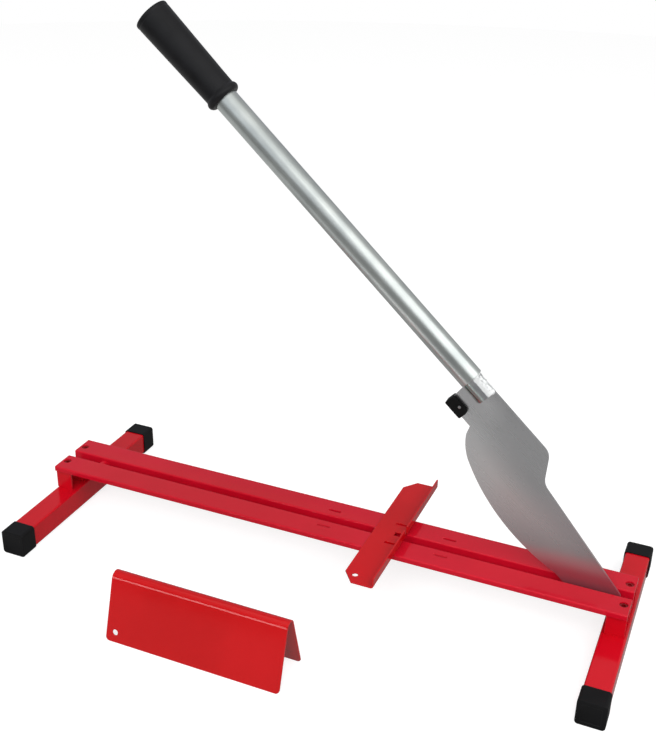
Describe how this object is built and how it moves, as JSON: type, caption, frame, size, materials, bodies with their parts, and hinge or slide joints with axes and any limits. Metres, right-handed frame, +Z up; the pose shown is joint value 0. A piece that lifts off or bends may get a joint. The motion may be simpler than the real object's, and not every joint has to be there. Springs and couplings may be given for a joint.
{
  "type": "laminate flooring cutter",
  "caption": "Laminate flooring cutter: a hinged curved blade on a long lever closes between the rails of a low footed stand, with a lift-out stop fence and a loose plank support.",
  "frame": {"origin": "on the floor midway between the two legs, in the plane of the blade", "axes": "+X along the rails towards the pivot, +Y to the back, +Z up"},
  "size_m": [0.773, 0.407, 0.6768],
  "materials": {
    "red_paint": "gloss powder coat",
    "black_plastic": "moulded, satin",
    "black_rubber": "matt",
    "blade_steel": "ground, lightly oiled",
    "zinc_tube": "bright zinc plate",
    "zinc_fastener": "zinc plate"
  },
  "bodies": {
    "base": {"left_leg": "red_paint", "right_leg": "red_paint", "front_rail": "red_paint", "back_rail": "red_paint", "foot_cap_front_left": "black_plastic", "bracket_front_left": "red_paint", "rail_screw_front_left": "red_paint", "rail_nut_front_left": "zinc_fastener", "foot_cap_front_right": "black_plastic", "bracket_front_right": "red_paint", "rail_screw_front_right": "red_paint", "rail_nut_front_right": "zinc_fastener", "foot_cap_back_left": "black_plastic", "bracket_back_left": "red_paint", "rail_screw_back_left": "red_paint", "rail_nut_back_left": "zinc_fastener", "foot_cap_back_right": "black_plastic", "bracket_back_right": "red_paint", "rail_screw_back_right": "red_paint", "rail_nut_back_right": "zinc_fastener", "tie_sleeve": "red_paint", "tie_bolt": "zinc_fastener", "tie_nut": "zinc_fastener", "pivot_bolt": "zinc_fastener", "pivot_nut": "zinc_fastener", "pivot_washer_front": "zinc_fastener", "pivot_washer_back": "zinc_fastener", "blade_spacer_front": "black_plastic", "blade_spacer_back": "black_plastic"},
    "lever": {"blade": "blade_steel", "stub_tube": "zinc_tube", "lever_tube": "zinc_tube", "hand_grip": "black_plastic", "bumper": "black_rubber", "bumper_rivet": "zinc_fastener"},
    "fence": {"fence": "red_paint"},
    "support": {"plank_support": "red_paint"}
  },
  "joints": [
    {"name": "blade_swing", "type": "hinge", "parent": "base", "child": "lever", "pos_m": [0.3363, 0, 0.053], "axis": [0, 1, 0], "range_deg": [-43.9, 35]},
    {"name": "fence_lift", "type": "slide", "parent": "base", "child": "fence", "axis": [0, 0, 1], "range_m": [0, 0.0045]},
    {"name": "support_slide", "type": "slide", "parent": "base", "child": "support", "axis": [0, 1, 0], "range_m": [-0.2, 0.06]}
  ]
}
